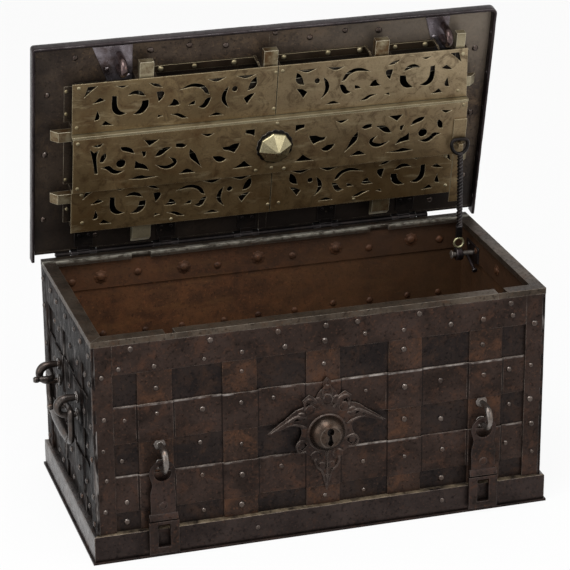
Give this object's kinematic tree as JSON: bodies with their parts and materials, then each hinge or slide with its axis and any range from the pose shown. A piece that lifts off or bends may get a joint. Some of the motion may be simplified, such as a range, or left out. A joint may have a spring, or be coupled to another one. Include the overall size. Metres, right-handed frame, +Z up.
{
  "type": "armada chest",
  "caption": "Riveted iron armada chest, lid propped open by a twisted stay, with a scroll-cam bolt lock under pierced cover plates, hasps and drop bail handles.",
  "frame": {"origin": "centre of the underside of the base plate, on the floor", "axes": "+X along the width to the right as seen from the front, the front faces -Y, +Z up"},
  "size_m": [0.8984, 0.4558, 0.8198],
  "materials": {
    "hull_iron": "dark brown-black lacquered wrought iron with rust patches",
    "skirting_iron": "dark brown-black lacquered wrought iron, worn at the lip",
    "rim_iron": "grey-green worn iron with bright edges",
    "rust_iron": "matt rust-brown wrought iron",
    "worn_iron": "hand-worn grey iron, half gloss",
    "lid_iron": "smooth purple-black iron, half gloss",
    "bright_steel": "bare filed iron",
    "pierced_plate": "polished and etched iron with an olive-brass patina"
  },
  "bodies": {
    "chest": {"base_plate": "hull_iron", "base_skirting": "skirting_iron", "front_plate": "hull_iron", "back_plate": "hull_iron", "side_plate_left": "hull_iron", "side_plate_right": "hull_iron", "rim_frame": "rim_iron", "inner_strip": "rust_iron", "corner_angles": "hull_iron", "top_bands": "hull_iron", "front_straps": "hull_iron", "back_straps": "hull_iron", "side_straps": "hull_iron", "front_bands": "hull_iron", "back_bands": "hull_iron", "side_bands": "hull_iron", "false_lock_plate": "hull_iron", "front_staples": "hull_iron", "handle_eyes": "worn_iron", "hinge_leaves_body": "rust_iron", "hinge_pins": "worn_iron", "stay_bracket": "rust_iron"},
    "lid": {"lid_sheet": "lid_iron", "lid_skirt": "lid_iron", "lid_straps": "hull_iron", "lid_bands": "hull_iron", "hinge_leaves_lid": "lid_iron", "lid_staples": "lid_iron", "staple_plates": "bright_steel", "bolt_guides": "lid_iron", "lock_case": "lid_iron", "leaf_springs": "bright_steel", "cover_upper_left": "pierced_plate", "cover_upper_right": "pierced_plate", "cover_lower_left": "pierced_plate", "cover_lower_right": "pierced_plate", "cover_middle": "pierced_plate", "cover_boss": "pierced_plate", "stay_lug": "bright_steel", "keyhole_rivet": "worn_iron"},
    "lock_cam": {"lock_cam": "bright_steel"},
    "bolts_front": {"bolts_front": "worn_iron"},
    "bolts_rear": {"bolts_rear": "worn_iron"},
    "bolts_left": {"bolts_left": "worn_iron"},
    "bolts_right": {"bolts_right": "worn_iron"},
    "keyhole_cover": {"keyhole_cover": "hull_iron"},
    "stay": {"stay_rod": "rust_iron", "stay_link": "worn_iron", "stay_knuckle": "rust_iron"},
    "hasp_left": {"hasp_left": "hull_iron"},
    "hasp_right": {"hasp_right": "hull_iron"},
    "bail_left": {"bail_left": "worn_iron"},
    "bail_right": {"bail_right": "worn_iron"}
  },
  "joints": [
    {"name": "lid_hinge", "type": "hinge", "parent": "chest", "child": "lid", "pos_m": [0, 0.2055, 0.4045], "axis": [1, 0, 0], "range_deg": [0, 77.5]},
    {"name": "lock_spindle", "type": "hinge", "parent": "lid", "child": "lock_cam", "pos_m": [0.01, 0.16091, 0.60562], "axis": [0, -0.9763, -0.2164], "range_deg": [0, 60]},
    {"name": "front_bolt_slide", "type": "slide", "parent": "lid", "child": "bolts_front", "axis": [0, 0.2164, -0.9763], "range_m": [0, 0.012]},
    {"name": "rear_bolt_slide", "type": "slide", "parent": "lid", "child": "bolts_rear", "axis": [0, -0.2164, 0.9763], "range_m": [0, 0.012]},
    {"name": "left_bolt_slide", "type": "slide", "parent": "lid", "child": "bolts_left", "axis": [1, 0, 0], "range_m": [0, 0.012]},
    {"name": "right_bolt_slide", "type": "slide", "parent": "lid", "child": "bolts_right", "axis": [-1, 0, 0], "range_m": [0, 0.012]},
    {"name": "keyhole_cover_pivot", "type": "hinge", "parent": "lid", "child": "keyhole_cover", "pos_m": [0.034, 0.16091, 0.60562], "axis": [0, -0.9763, -0.2164], "range_deg": [0, 90]},
    {"name": "stay_pivot", "type": "hinge", "parent": "chest", "child": "stay", "pos_m": [0.358, 0.118, 0.354], "axis": [1, 0, 0], "range_deg": [0, 155]},
    {"name": "hasp_left_swing", "type": "hinge", "parent": "chest", "child": "hasp_left", "pos_m": [-0.287, -0.209, 0.1759], "axis": [-1, 0, 0], "range_deg": [0, 60]},
    {"name": "hasp_right_swing", "type": "hinge", "parent": "chest", "child": "hasp_right", "pos_m": [0.287, -0.209, 0.1759], "axis": [-1, 0, 0], "range_deg": [0, 60]},
    {"name": "bail_left_swing", "type": "hinge", "parent": "chest", "child": "bail_left", "pos_m": [-0.415, 0, 0.234], "axis": [0, 1, 0], "range_deg": [0, 90]},
    {"name": "bail_right_swing", "type": "hinge", "parent": "chest", "child": "bail_right", "pos_m": [0.415, 0, 0.234], "axis": [0, -1, 0], "range_deg": [0, 90]}
  ],
  "couplings": [
    {"joint": "front_bolt_slide", "follows": "lock_spindle", "m_per_rad": 0.011459},
    {"joint": "rear_bolt_slide", "follows": "lock_spindle", "m_per_rad": 0.011459},
    {"joint": "left_bolt_slide", "follows": "lock_spindle", "m_per_rad": 0.011459},
    {"joint": "right_bolt_slide", "follows": "lock_spindle", "m_per_rad": 0.011459},
    {"joint": "stay_pivot", "follows": "lid_hinge", "ratio": 2}
  ]
}
